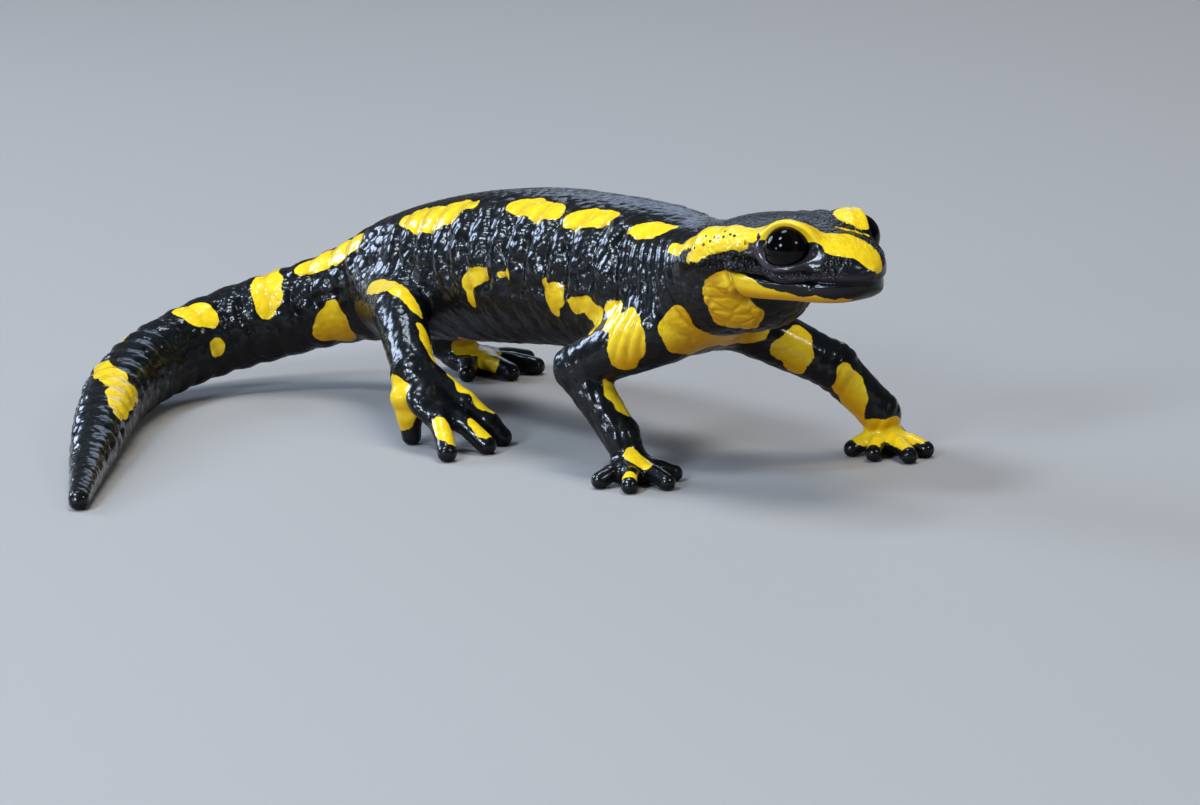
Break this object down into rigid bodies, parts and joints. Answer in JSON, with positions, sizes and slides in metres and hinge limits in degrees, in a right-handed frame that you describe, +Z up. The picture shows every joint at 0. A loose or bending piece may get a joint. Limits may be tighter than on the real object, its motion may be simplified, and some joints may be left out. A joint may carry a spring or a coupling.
{
  "type": "fire salamander model",
  "caption": "Life-size still model of a walking fire salamander, glossy black with yellow patches, its tail curled round on the ground.",
  "frame": {"origin": "middle of the footprint of the whole animal, on the surface it stands on", "axes": "+X the way the trunk faces, +Y its left side, +Z up"},
  "size_m": [0.1054, 0.082, 0.0298],
  "materials": {
    "skin": "wet glossy black with bright yellow patches",
    "eye": "glossy black"
  },
  "bodies": {
    "root": {"head": "skin", "neck": "skin", "chest": "skin", "trunk_middle": "skin", "trunk_rear": "skin", "pelvis": "skin", "tail_base": "skin", "tail_middle": "skin", "tail_rear": "skin", "tail_tip": "skin", "left_upper_arm": "skin", "left_forearm": "skin", "left_hand": "skin", "right_upper_arm": "skin", "right_forearm": "skin", "right_hand": "skin", "left_thigh": "skin", "left_shank": "skin", "left_foot": "skin", "right_thigh": "skin", "right_shank": "skin", "right_foot": "skin", "left_eye": "eye", "right_eye": "eye"}
  },
  "joints": []
}
